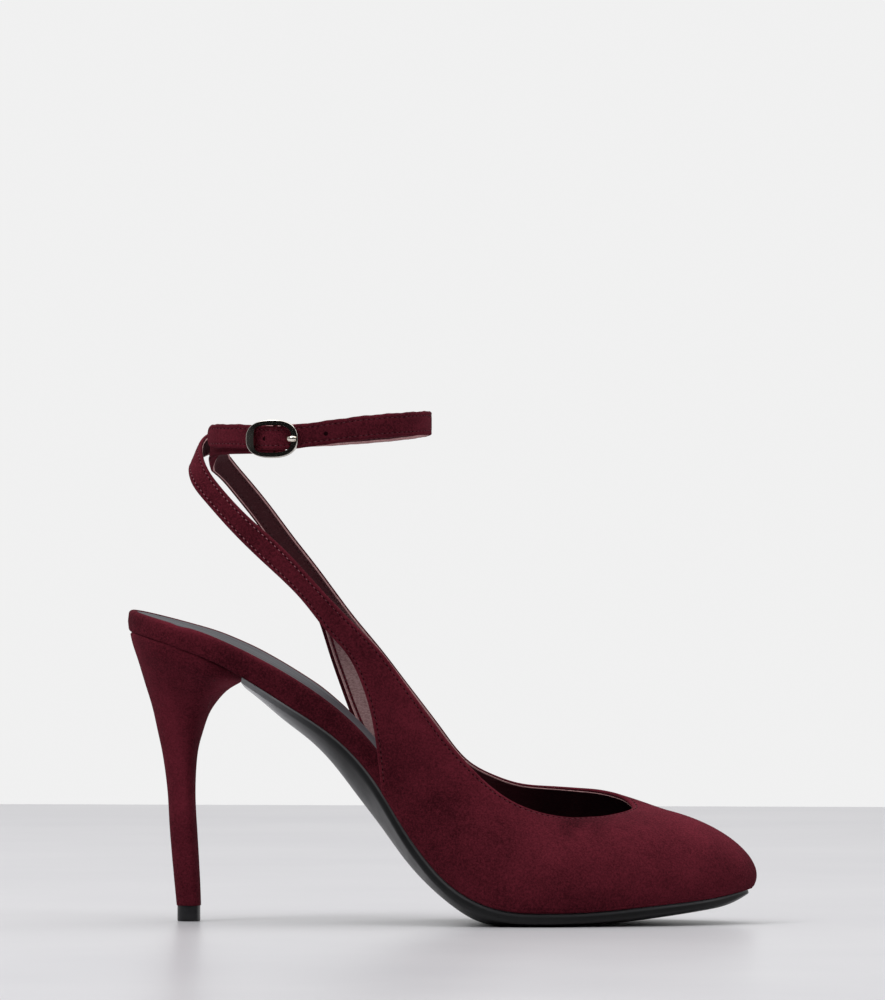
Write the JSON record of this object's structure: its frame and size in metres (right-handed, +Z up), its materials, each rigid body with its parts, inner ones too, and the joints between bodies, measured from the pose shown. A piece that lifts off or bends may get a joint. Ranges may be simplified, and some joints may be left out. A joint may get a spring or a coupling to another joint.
{
  "type": "slingback pump",
  "caption": "Right slingback pump in suede: almond toe, straps that run back from the sides and cross behind the heel, buckled ankle strap, slim high heel and leather sole.",
  "frame": {"origin": "on the floor under the middle of the shoe's outer box", "axes": "+X from the heel to the toe, +Y to the medial side of this right shoe, +Z up"},
  "size_m": [0.2139, 0.0772, 0.1737],
  "materials": {
    "suede": "burgundy suede with a short soft nap",
    "sock_leather": "smooth dark grey leather",
    "outsole_leather": "black leather with a satin shine",
    "top_piece": "hard black rubber",
    "buckle_metal": "polished pale metal"
  },
  "bodies": {
    "root": {"upper": "suede", "ankle_strap": "suede", "buckle_tab": "suede", "buckle_frame": "buckle_metal", "buckle_prong": "buckle_metal", "insole": "suede", "sock": "sock_leather", "outsole": "outsole_leather", "heel": "suede", "heel_tip": "top_piece"}
  },
  "joints": []
}
